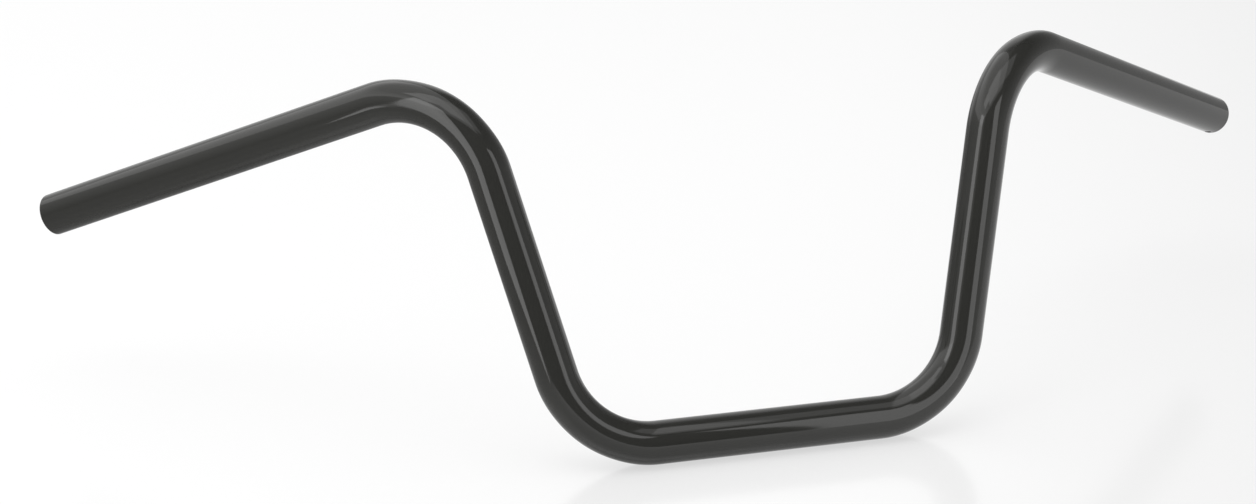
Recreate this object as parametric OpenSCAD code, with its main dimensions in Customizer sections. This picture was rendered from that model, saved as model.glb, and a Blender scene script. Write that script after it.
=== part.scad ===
// One-piece motorcycle handlebar bent from a single length of round steel tube.
// The middle of the clamp stretch is the origin, X runs along it and the grips reach back in +Y.

/* [Tube] */
// outside diameter of the tube, here a one inch bar
tube_od = 25.4; // [22:0.1:32]
// wall thickness of the tube
wall = 2.5; // [1.5:0.1:4]
// radius of every bend at the middle of the tube
bend_r = 57; // [40:1:75]

/* [Shape] */
// width at the base, between the crossing points of the clamp and riser centre lines
base_w = 226; // [180:1:320]
// height of the riser crossing points above the clamp line, measured along the lean
rise = 219; // [150:1:360]
// outward lean of each riser in degrees
splay = 13.2; // [0:0.1:25]
// length of each arm from its crossing point to its open end
arm_l = 297; // [200:1:340]
// rearward sweep of the arms in degrees
sweep = 39; // [5:0.5:55]
// droop of the arms below level in degrees, before the whole bar leans back
droop = 10.7; // [0:0.1:20]
// backward lean of the whole bar in degrees
lean = 18.5; // [0:0.5:30]

/* [Small hole] */
// diameter of the small drilled hole under the right end
hole_d = 4.5; // [2:0.1:6]
// distance from the right end face to the middle of that hole
hole_in = 5; // [4:0.5:20]
// turn of that hole from straight down towards the front in degrees
hole_turn = 12; // [-40:1:40]

/* [Colour] */
// colour of the gloss black finish
finish_col = "#2b2b29"; // [#2b2b29, #1b1b1b, #8a8c8e]

/* [View] */
// which part is drawn

/* [Hidden] */
$fn = 96;
// inside diameter of the tube
bore_d = tube_od - 2 * wall;
// straight directions of the riser and the arm of the right half
riser_dir = [sin(splay), 0, cos(splay)];
arm_dir = [cos(sweep) * cos(droop), sin(sweep) * cos(droop), -sin(droop)];
// length of a riser between its two crossing points
riser_l = rise / cos(splay);
// turning angle of each bend, and the straight tube that it takes up on each side
low_turn = 90 - splay;
high_turn = acos(riser_dir * arm_dir);
low_cut = bend_r * tan(low_turn / 2);
high_cut = bend_r * tan(high_turn / 2);
clamp_l = base_w - 2 * low_cut;
// turn about the riser from the outside of the low bend to the outside of the high bend
roll = 180 + atan2(arm_dir[1], arm_dir[0] * cos(splay) - arm_dir[2] * sin(splay));
// straight down as the bar stands, and its turn about the arm from the outside of the high bend
down = [0, sin(lean), -cos(lean)];
under_turn = atan2(down * cross(arm_dir, riser_dir), down * (riser_dir - arm_dir * cos(high_turn)));
// the tube flattens a little in its bends, so it is drawn slimmer there by this much
bend_slim = 0.3;
// each straight reaches this far into the bend, and narrows to this much below the tube's diameter
neck_l = 3;
neck_slim = 0.6;
// extra length by which the bore tool leaves the open ends
past = 2;

// straight round bar of diameter d along Z, with its children at its end;
// it necks down into the bend at either end, unless its far end is an open end
module straight(l, d, open_end = false) {
    r = d / 2;
    neck_r = (d - neck_slim) / 2;
    far_end = open_end ? [[r, l], [0, l]] : [[r, l], [neck_r, l + neck_l], [0, l + neck_l]];
    rotate_extrude()
        polygon(concat([[0, -neck_l], [neck_r, -neck_l], [r, 0]], far_end));
    translate([0, 0, l])
        children();
}

// bend of the bar from Z away from X, with its children at its end
module bend(turn, d) {
    translate([-bend_r, 0, 0]) {
        rotate([90, 0, 0])
            rotate_extrude(angle = turn)
                translate([bend_r, 0])
                    circle(d = d - bend_slim);
        rotate([0, -turn, 0])
            translate([bend_r, 0, 0])
                children();
    }
}

// right half of the run, from the end of the clamp stretch to the open end,
// with its children at the open end
module right_half(d, extra) {
    translate([clamp_l / 2, 0, 0])
        rotate([0, 90, 0])
            bend(low_turn, d)
                straight(riser_l - low_cut - high_cut, d)
                    rotate(roll)
                        bend(high_turn, d)
                            straight(arm_l - high_cut + extra, d, open_end = true)
                                translate([0, 0, -extra])
                                    children();
}

// the whole run as a solid rod of diameter d, with its children at the right open end
module run(d, extra = 0) {
    translate([-clamp_l / 2, 0, 0])
        rotate([0, 90, 0])
            straight(clamp_l, d);
    right_half(d, extra)
        children();
    mirror([1, 0, 0])
        right_half(d, extra);
}

// tool for the small hole, seen from the open end: it leaves the bore through one wall only
module small_hole() {
    translate([0, 0, -hole_in])
        rotate([0, 0, under_turn - hole_turn])
            rotate([0, 90, 0])
                cylinder(h = tube_od, d = hole_d);
}

// the bar: tube wall along the whole run, open at both ends, leaning back as it stands
module handlebar() {
    color(finish_col)
        rotate([-lean, 0, 0])
            difference() {
                run(tube_od);
                run(bore_d, past)
                    small_hole();
            }
}

handlebar();
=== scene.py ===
from math import atan2, cos, hypot, pi, radians, sin, tan

import bmesh
import bpy
from mathutils import Matrix, Vector


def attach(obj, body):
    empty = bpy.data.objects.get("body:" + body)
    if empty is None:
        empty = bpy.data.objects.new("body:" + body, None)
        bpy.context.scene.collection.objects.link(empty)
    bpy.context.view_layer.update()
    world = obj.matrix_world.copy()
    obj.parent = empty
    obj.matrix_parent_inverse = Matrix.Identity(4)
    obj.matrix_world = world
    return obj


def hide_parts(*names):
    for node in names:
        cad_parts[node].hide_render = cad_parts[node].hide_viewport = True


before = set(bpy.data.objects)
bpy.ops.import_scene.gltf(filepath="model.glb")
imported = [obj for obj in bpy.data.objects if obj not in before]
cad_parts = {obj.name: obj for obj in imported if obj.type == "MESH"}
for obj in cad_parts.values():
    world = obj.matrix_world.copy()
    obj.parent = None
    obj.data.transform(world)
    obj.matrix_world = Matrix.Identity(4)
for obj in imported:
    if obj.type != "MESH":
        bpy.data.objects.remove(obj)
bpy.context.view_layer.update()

# The handlebar: one length of one inch steel tube, bent cold in four places on a rotary bender.
# The clamp stretch lies between the two low bends, the risers lean out and back from it, and the
# arms sweep back from the two high bends. Both ends are cut square, deburred and left open.
MM = 0.001
TUBE_R = 25.4 * MM / 2
WALL = 2.5 * MM
BEND_R = 57 * MM
BASE_W = 226 * MM
RISE = 219 * MM
ARM_L = 297 * MM
SPLAY = radians(13.2)
SWEEP = radians(39)
DROOP = radians(10.7)
LEAN = radians(18.5)
# shares by which the outer half of the tube flattens in the low bends and in the high ones, and
# the part of that share by which it bulges across the bend
LOW_FLATTEN = 0.045
HIGH_FLATTEN = 0.08
BULGE = 0.1
# length of tube over which that flattening grows at either end of a bend
GROW = 28 * MM
RIM_SOFT = 0.35 * MM
# the last stretch of each arm, in finer steps for the small hole
FINE_STRETCH = 12 * MM
# faces round the tube, distance at which vertices merge, and angle in radians from which a rim is sharp
AROUND = 96
SAME_SPOT = 1e-6
SHARP = 1

riser_way = Vector((sin(SPLAY), 0, cos(SPLAY)))
arm_way = Vector((cos(SWEEP) * cos(DROOP), sin(SWEEP) * cos(DROOP), -sin(DROOP)))
low_turn = pi / 2 - SPLAY
high_turn = riser_way.angle(arm_way)
low_cut = BEND_R * tan(low_turn / 2)
high_cut = BEND_R * tan(high_turn / 2)
roll = pi + atan2(arm_way.y, arm_way.x * cos(SPLAY) - arm_way.z * sin(SPLAY))
leaning = Matrix.Rotation(-LEAN, 4, "X")


def ring_of(made):
    """The edges of the newest ring among what an operator made, and its vertices."""
    verts = [g for g in made if isinstance(g, bmesh.types.BMVert)]
    newest = set(verts)
    edges = [g for g in made if isinstance(g, bmesh.types.BMEdge) and newest.issuperset(g.verts)]
    return edges, verts


def draw_straight(bm, ring, at, length, steps):
    """Carries the ring on along a straight stretch of tube."""
    for _ in range(steps):
        ring, verts = ring_of(bmesh.ops.extrude_edge_only(bm, edges=ring)["geom"])
        bmesh.ops.translate(bm, verts=verts, vec=at.to_3x3() @ Vector((0, 0, length / steps)))
    return ring, at @ Matrix.Translation((0, 0, length))


def draw_bend(bm, ring, at, turn, flatten, steps):
    """Carries the ring round a bend, and flattens the tube there as the bender does."""
    before = set(bm.verts)
    geom = ring + list({v for e in ring for v in e.verts})
    centre = at @ Vector((-BEND_R, 0, 0))
    axis = at.to_3x3() @ Vector((0, -1, 0))
    last = bmesh.ops.spin(bm, geom=geom, cent=centre, axis=axis, angle=turn, steps=steps)["geom_last"]
    for v in bm.verts:
        if v in before:
            continue
        p = at.inverted() @ v.co
        gone = atan2(p.z, p.x + BEND_R) * BEND_R
        left = turn * BEND_R - gone
        share = 1.0
        for reach in (gone, left):
            part = min(max(reach / GROW, 0), 1)
            share *= part * part * (3 - 2 * part)
        out = hypot(p.x + BEND_R, p.z) - BEND_R
        shift = 1 - max(out, 0) * flatten * share / (BEND_R + out)
        across = p.y * (1 + BULGE * flatten * share)
        v.co = at @ Vector(((p.x + BEND_R) * shift - BEND_R, across, p.z * shift))
    turned = at @ Matrix.Translation((-BEND_R, 0, 0)) @ Matrix.Rotation(-turn, 4, "Y")
    return ring_of(last)[0], turned @ Matrix.Translation((BEND_R, 0, 0))


bm = bmesh.new()
ends = []
for radius in (TUBE_R, TUBE_R - WALL):
    before = set(bm.faces)
    at = leaning @ Matrix.Rotation(pi / 2, 4, "Y")
    made = bmesh.ops.create_circle(bm, radius=radius, segments=AROUND, matrix=at)["verts"]
    ring = list({e for v in made for e in v.link_edges})
    ring, at = draw_straight(bm, ring, at, BASE_W / 2 - low_cut, 10)
    ring, at = draw_bend(bm, ring, at, low_turn, LOW_FLATTEN, 40)
    ring, at = draw_straight(bm, ring, at, RISE / cos(SPLAY) - low_cut - high_cut, 14)
    at = at @ Matrix.Rotation(roll, 4, "Z")
    ring, at = draw_bend(bm, ring, at, high_turn, HIGH_FLATTEN, 46)
    ring, at = draw_straight(bm, ring, at, ARM_L - high_cut - FINE_STRETCH, 22)
    ring, at = draw_straight(bm, ring, at, FINE_STRETCH, 12)
    ends.append(ring)
    # the first slot is the coat outside, the second the bare bore
    for face in set(bm.faces) - before:
        face.material_index = int(radius < TUBE_R)
arm_end = at
made = bmesh.ops.extrude_edge_only(bm, edges=ends[0])["geom"]
shrink = Matrix.Diagonal((1 - WALL / TUBE_R, 1 - WALL / TUBE_R, 1, 1))
bmesh.ops.transform(bm, verts=ring_of(made)[1], matrix=arm_end @ shrink @ arm_end.inverted())
whole = bm.verts[:] + bm.edges[:] + bm.faces[:]
bmesh.ops.mirror(bm, geom=whole, matrix=Matrix.Identity(4), merge_dist=SAME_SPOT, axis="X")
bmesh.ops.remove_doubles(bm, verts=bm.verts, dist=SAME_SPOT)
bmesh.ops.recalc_face_normals(bm, faces=bm.faces)
rims = [e for e in bm.edges if e.is_manifold and e.calc_face_angle() > SHARP]
bmesh.ops.bevel(bm, geom=rims, offset=RIM_SOFT, offset_type="OFFSET", segments=3, profile=0.5,
                affect="EDGES", material=-1, clamp_overlap=True)
mesh = bpy.data.meshes.new("handlebar_tube")
coat = bpy.data.materials.new("gloss_black_powder_coat")
bore = bpy.data.materials.new("bare_drawn_steel_bore")
mesh.materials.append(coat)
mesh.materials.append(bore)
bm.to_mesh(mesh)
bm.free()
handlebar = bpy.data.objects.new("handlebar_tube", mesh)
bpy.context.scene.collection.objects.link(handlebar)

# The small hole is drilled through the underside wall, close to the right end.
HOLE_R = 4.5 * MM / 2
HOLE_IN = 5 * MM
HOLE_TURN = radians(12)
down = leaning.to_3x3().inverted() @ Vector((0, 0, -1))
outer = riser_way - arm_way * cos(high_turn)
under_turn = atan2(down.dot(arm_way.cross(riser_way)), down.dot(outer))
drill_at = arm_end @ Matrix.Translation((0, 0, -HOLE_IN)) @ Matrix.Rotation(under_turn - HOLE_TURN, 4, "Z")
drill_at = drill_at @ Matrix.Rotation(pi / 2, 4, "Y") @ Matrix.Translation((0, 0, TUBE_R))
drill = bmesh.new()
bmesh.ops.create_cone(drill, cap_ends=True, segments=32, radius1=HOLE_R, radius2=HOLE_R,
                      depth=2 * WALL + 2 * MM, matrix=drill_at)
drill_mesh = bpy.data.meshes.new("drill")
drill.to_mesh(drill_mesh)
drill.free()
drill_bit = bpy.data.objects.new("drill", drill_mesh)
bpy.context.scene.collection.objects.link(drill_bit)
cut = handlebar.modifiers.new("small_hole", "BOOLEAN")
cut.object = drill_bit
cut.operation = "DIFFERENCE"
cut.solver = "EXACT"
bpy.context.view_layer.update()
drilled = bpy.data.meshes.new_from_object(handlebar.evaluated_get(bpy.context.evaluated_depsgraph_get()))
handlebar.modifiers.clear()
handlebar.data = drilled
bpy.data.meshes.remove(mesh)
bpy.data.objects.remove(drill_bit)
drilled.shade_smooth()
bpy.context.view_layer.update()


def linear(code):
    """An sRGB hex colour as the linear colour that a shader takes."""
    parts = [int(code[i:i + 2], 16) / 255 for i in (1, 3, 5)]
    return tuple(c / 12.92 if c <= 0.04045 else ((c + 0.055) / 1.055) ** 2.4 for c in parts) + (1,)


def add_node(tree, kind, settings=None, values=None, links=None):
    """Adds a node, sets its own settings and its inputs' values, and links inputs to outputs."""
    node = tree.nodes.new(kind)
    for name, value in (settings or {}).items():
        setattr(node, name, value)
    for name, value in (values or {}).items():
        node.inputs[name].default_value = value
    for name, output in (links or {}).items():
        tree.links.new(output, node.inputs[name])
    return node


# Gloss black powder coat, sprayed dry and baked: it gives a deep warm black with a clear mirror
# sheen, a faint orange peel a few millimetres wide, slow changes of gloss along the tube, and here
# and there a nib of dust under the coat.
COAT_BLACK = "#2b2b29"
PEEL = 2.4 * MM
CLOUD = 45 * MM
NIB_APART = 16 * MM
NIB_R = 0.35 * MM
PEEL_HIGH = 0.02 * MM
NIB_HIGH = 0.05 * MM
COAT_ROUGH = (0.05, 0.09)
coat.use_nodes = True
tree = coat.node_tree
tree.nodes.clear()
where = add_node(tree, "ShaderNodeTexCoord")
peel = add_node(tree, "ShaderNodeTexNoise", values={"Scale": 1 / PEEL, "Detail": 2.0, "Roughness": 0.4},
                links={"Vector": where.outputs["Object"]})
cloud = add_node(tree, "ShaderNodeTexNoise", values={"Scale": 1 / CLOUD, "Detail": 3.0},
                 links={"Vector": where.outputs["Object"]})
gloss = add_node(tree, "ShaderNodeMapRange",
                 values={"From Min": 0.3, "From Max": 0.7, "To Min": COAT_ROUGH[0], "To Max": COAT_ROUGH[1]},
                 links={"Value": cloud.outputs["Fac"]})
nib = add_node(tree, "ShaderNodeTexVoronoi", values={"Scale": 1 / NIB_APART, "Randomness": 1.0},
               links={"Vector": where.outputs["Object"]})
nib_height = add_node(tree, "ShaderNodeMapRange",
                      values={"From Min": 0.0, "From Max": NIB_R / NIB_APART, "To Min": 1.0, "To Max": 0.0},
                      links={"Value": nib.outputs["Distance"]})
nib_bump = add_node(tree, "ShaderNodeBump", values={"Strength": 0.3, "Distance": NIB_HIGH},
                    links={"Height": nib_height.outputs["Result"]})
bump = add_node(tree, "ShaderNodeBump", values={"Strength": 0.1, "Distance": PEEL_HIGH},
                links={"Height": peel.outputs["Fac"], "Normal": nib_bump.outputs["Normal"]})
shader = add_node(tree, "ShaderNodeBsdfPrincipled", values={"Base Color": linear(COAT_BLACK), "IOR": 1.45},
                  links={"Roughness": gloss.outputs["Result"], "Normal": bump.outputs["Normal"]})
add_node(tree, "ShaderNodeOutputMaterial", links={"Surface": shader.outputs["BSDF"]})

# The bore is bare steel, as it was drawn: dull grey with brown stains a few millimetres wide. The
# spray gun reached into the open ends, so the black thins out over the first centimetre.
BORE_STEEL = "#86827c"
BORE_STAIN = "#5c5046"
OVERSPRAY = 10 * MM
STAIN = 6 * MM
BORE_ROUGH = (0.4, 0.6)
bore.use_nodes = True
tree = bore.node_tree
tree.nodes.clear()
where = add_node(tree, "ShaderNodeTexCoord")
half = add_node(tree, "ShaderNodeVectorMath", {"operation": "ABSOLUTE"},
                links={0: where.outputs["Object"]})
from_end = add_node(tree, "ShaderNodeVectorMath", {"operation": "SUBTRACT"}, {0: arm_end.translation},
                    {1: half.outputs["Vector"]})
depth = add_node(tree, "ShaderNodeVectorMath", {"operation": "DOT_PRODUCT"},
                 {1: arm_end.to_3x3().col[2]}, {0: from_end.outputs["Vector"]})
mist = add_node(tree, "ShaderNodeTexNoise", values={"Scale": 1 / STAIN, "Detail": 4.0},
                links={"Vector": where.outputs["Object"]})
ragged = add_node(tree, "ShaderNodeMath", {"operation": "MULTIPLY_ADD"}, {1: -OVERSPRAY},
                  {0: mist.outputs["Fac"], 2: depth.outputs["Value"]})
sprayed = add_node(tree, "ShaderNodeMapRange",
                   values={"From Min": -0.4 * OVERSPRAY, "From Max": 0.6 * OVERSPRAY,
                           "To Min": 1.0, "To Max": 0.0},
                   links={"Value": ragged.outputs[0]})
steel = add_node(tree, "ShaderNodeMix", {"data_type": "RGBA"},
                 {6: linear(BORE_STEEL), 7: linear(BORE_STAIN)}, {0: mist.outputs["Fac"]})
colour = add_node(tree, "ShaderNodeMix", {"data_type": "RGBA"}, {7: linear(COAT_BLACK)},
                  {0: sprayed.outputs["Result"], 6: steel.outputs[2]})
bare = add_node(tree, "ShaderNodeMath", {"operation": "SUBTRACT"}, {0: 1.0},
                {1: sprayed.outputs["Result"]})
dull = add_node(tree, "ShaderNodeMapRange",
                values={"From Min": 0.3, "From Max": 0.7, "To Min": BORE_ROUGH[0], "To Max": BORE_ROUGH[1]},
                links={"Value": mist.outputs["Fac"]})
shader = add_node(tree, "ShaderNodeBsdfPrincipled",
                  links={"Base Color": colour.outputs[2], "Metallic": bare.outputs[0],
                         "Roughness": dull.outputs["Result"]})
add_node(tree, "ShaderNodeOutputMaterial", links={"Surface": shader.outputs["BSDF"]})
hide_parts("handlebar")
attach(handlebar, "root")

# The table: a sheet of white glossy board under the bar, which stands on its clamp stretch. Most of
# its white is its own glow, for every ray that looks at it; the rest is lit, and takes the shadow.
# The glow that the coat mirrors has the table's light and shade painted in: dark to the left and behind the
# bar, as painted shadow, and light to the right.
FLOOR_Z = -TUBE_R
FLOOR_REACH = 8
FLOOR_WHITE = "#ffffff"
FLOOR_LIT = 0.28
FLOOR_GLOSS = 0.14
FLOOR_ROUGH = 0.17
# way in which the painted light and shade on the mirrored table grows lighter, from where to where in metres,
# and to what level
LIGHTER_WAY = (0.8, -0.6, 0)
LIGHTER_FROM = -0.35
LIGHTER_TO = 0.12
LIGHTEST = 1.25
floor_bm = bmesh.new()
bmesh.ops.create_grid(floor_bm, x_segments=1, y_segments=1, size=FLOOR_REACH,
                      matrix=Matrix.Translation((0, 0, FLOOR_Z)))
floor_mesh = bpy.data.meshes.new("floor")
floor_bm.to_mesh(floor_mesh)
floor_bm.free()
floor = bpy.data.objects.new("floor", floor_mesh)
bpy.context.scene.collection.objects.link(floor)


def seen_rays(tree, in_gloss):
    """1 for a ray that looks at the background, and in_gloss for one that looks at it in a gloss."""
    path = add_node(tree, "ShaderNodeLightPath")
    through = add_node(tree, "ShaderNodeMath", {"operation": "MAXIMUM"},
                       links={0: path.outputs["Is Camera Ray"], 1: path.outputs["Is Transmission Ray"]})
    seen = add_node(tree, "ShaderNodeMath", {"operation": "MULTIPLY_ADD"}, {1: in_gloss},
                    {0: path.outputs["Is Glossy Ray"], 2: through.outputs[0]})
    return seen.outputs[0]


board = bpy.data.materials.new("white_gloss_board")
board.use_nodes = True
tree = board.node_tree
tree.nodes.clear()
glow_share = add_node(tree, "ShaderNodeMath", {"operation": "MULTIPLY"}, {1: 1 - FLOOR_LIT},
                      {0: seen_rays(tree, 1.0)})
lit = add_node(tree, "ShaderNodeBsdfDiffuse", values={"Color": linear(FLOOR_WHITE)})
where = add_node(tree, "ShaderNodeTexCoord")
across = add_node(tree, "ShaderNodeVectorMath", {"operation": "DOT_PRODUCT"}, {1: LIGHTER_WAY},
                  {0: where.outputs["Object"]})
# painted light and shade: the glow that gloss sees runs from dark at the left and behind the bar to light at
# the right
painted_table_light = add_node(tree, "ShaderNodeMapRange",
                 values={"From Min": LIGHTER_FROM, "From Max": LIGHTER_TO, "To Min": 0.0, "To Max": LIGHTEST},
                 links={"Value": across.outputs["Value"]})
path = add_node(tree, "ShaderNodeLightPath")
glow_level = add_node(tree, "ShaderNodeMapRange", values={"To Min": 1.0},
                      links={"Value": path.outputs["Is Glossy Ray"], "To Max": painted_table_light.outputs["Result"]})
glow = add_node(tree, "ShaderNodeEmission", values={"Color": linear(FLOOR_WHITE)},
                links={"Strength": glow_level.outputs["Result"]})
white = add_node(tree, "ShaderNodeMixShader",
                 links={0: glow_share.outputs[0], 1: lit.outputs["BSDF"], 2: glow.outputs["Emission"]})
mirror = add_node(tree, "ShaderNodeBsdfGlossy", values={"Color": (1, 1, 1, 1), "Roughness": FLOOR_ROUGH})
glossy_white = add_node(tree, "ShaderNodeMixShader", values={0: FLOOR_GLOSS},
                        links={1: white.outputs["Shader"], 2: mirror.outputs["BSDF"]})
add_node(tree, "ShaderNodeOutputMaterial", links={"Surface": glossy_white.outputs["Shader"]})
floor_mesh.materials.append(board)

# The studio: a wide diffuser overhead with three hot spots, and a tall strip box on each side of the
# camera. The strip boxes are flagged off from the table, so they light the bar alone.
# name, spot, turn in degrees, width and height, level at which the coat mirrors it
LAMPS = (
    ("overhead_diffuser", (-1.12, 0.8, 1.55), -9, (2.75, 3.6), 0.9),
    ("hot_spot_right", (0.42, -0.14, 1.54), -9, (0.73, 0.82), 0.69),
    ("hot_spot_middle", (-0.26, -0.23, 1.54), -9, (0.64, 0.91), 1.25),
    ("hot_spot_left", (-0.77, -0.20, 1.54), -9, (0.55, 0.53), 1.5),
    ("strip_box_left", (-0.62, -0.278, 0.43), 59, (0.296, 0.87), 2.6),
    ("strip_box_right", (0.355, -0.558, 0.41), -21, (0.30, 0.83), 2.05),
)
bar_alone = bpy.data.collections.new("bar_alone")
bar_alone.objects.link(handlebar)
for name, spot, facing, size, level in LAMPS:
    data = bpy.data.lights.new(name, "AREA")
    data.shape = "RECTANGLE"
    data.size, data.size_y = size
    data.energy = level * pi * size[0] * size[1]
    lamp = bpy.data.objects.new(name, data)
    lamp.location = spot
    strip_box = name.startswith("strip_box")
    lamp.rotation_euler = (pi / 2 if strip_box else 0, 0, radians(-facing))
    if strip_box:
        lamp.light_linking.receiver_collection = bar_alone
    lamp.visible_camera = False
    bpy.context.scene.collection.objects.link(lamp)

# The room round the table as the coat mirrors it. Each stop has a turn, from the left through the
# front, where the camera stands, to the right and the back, and the levels at the foot and at the
# top of the walls there. The walls fade into a dim ceiling; the heights WALL_TOP, FADE_FROM and
# FADE_TO are sines of the angle above the horizon.
ROOM = (
    (0.00, 0.20, 0.80), (0.10, 0.20, 0.80), (0.13, 0.00, 0.00), (0.33, 0.00, 0.00), (0.36, 0.60, 0.00),
    (0.65, 0.50, 0.00), (0.70, 1.00, 0.70), (0.82, 1.00, 0.70), (0.89, 0.20, 0.80), (1.00, 0.20, 0.80),
)
WALL_TOP = 0.7
FADE_FROM = 0.6
FADE_TO = 0.78
CEILING = 0.2
ROOM_LEVEL = 0.55
BACKDROP_LEVEL = 0.92
world = bpy.data.worlds.new("studio")
bpy.context.scene.world = world
world.use_nodes = True
tree = world.node_tree
tree.nodes.clear()
where = add_node(tree, "ShaderNodeTexCoord")
turn = add_node(tree, "ShaderNodeTexGradient", {"gradient_type": "RADIAL"},
                links={"Vector": where.outputs["Generated"]})
rings = []
for part in (1, 2):
    ring = add_node(tree, "ShaderNodeValToRGB", links={"Fac": turn.outputs["Fac"]})
    ring.color_ramp.interpolation = "EASE"
    ring.color_ramp.elements[0].color = (ROOM[0][part],) * 3 + (1,)
    ring.color_ramp.elements[1].color = (ROOM[-1][part],) * 3 + (1,)
    for stop in ROOM[1:-1]:
        ring.color_ramp.elements.new(stop[0]).color = (stop[part],) * 3 + (1,)
    rings.append(ring)
height = add_node(tree, "ShaderNodeSeparateXYZ", links={"Vector": where.outputs["Generated"]})
walls = add_node(tree, "ShaderNodeMapRange", values={"From Max": WALL_TOP},
                 links={"Value": height.outputs["Z"], "To Min": rings[0].outputs["Color"],
                        "To Max": rings[1].outputs["Color"]})
under_ceiling = add_node(tree, "ShaderNodeMapRange",
                         values={"From Min": FADE_FROM, "From Max": FADE_TO,
                                 "To Min": 1.0, "To Max": CEILING},
                         links={"Value": height.outputs["Z"]})
room = add_node(tree, "ShaderNodeMath", {"operation": "MULTIPLY"},
                links={0: walls.outputs["Result"], 1: under_ceiling.outputs["Result"]})
path = add_node(tree, "ShaderNodeLightPath")
looked_at = add_node(tree, "ShaderNodeMapRange", values={"To Min": ROOM_LEVEL, "To Max": BACKDROP_LEVEL},
                     links={"Value": seen_rays(tree, 0.0)})
level = add_node(tree, "ShaderNodeMapRange",
                 links={"Value": path.outputs["Is Glossy Ray"], "To Min": looked_at.outputs["Result"],
                        "To Max": room.outputs[0]})
sky = add_node(tree, "ShaderNodeBackground", values={"Color": (1, 1, 1, 1)},
               links={"Strength": level.outputs["Result"]})
add_node(tree, "ShaderNodeOutputWorld", links={"Surface": sky.outputs["Background"]})

# The camera stands in front, to the left and a little above, as in the photograph.
CAMERA_SPOT = (-0.40923, -1.26957, 0.56789)
CAMERA_TURN = radians(-14.373)
CAMERA_TIP = radians(90 - 18.963)
CAMERA_ROLL = radians(-0.643)
camera_data = bpy.data.cameras.new("camera")
camera_data.lens = 71.044
camera_data.sensor_width = 36
camera = bpy.data.objects.new("camera", camera_data)
bpy.context.scene.collection.objects.link(camera)
turned = Matrix.Rotation(CAMERA_TURN, 4, "Z") @ Matrix.Rotation(CAMERA_TIP, 4, "X")
camera.matrix_world = Matrix.Translation(CAMERA_SPOT) @ turned @ Matrix.Rotation(CAMERA_ROLL, 4, "Z")
bpy.context.scene.camera = camera
bpy.context.scene.view_settings.view_transform = "Standard"
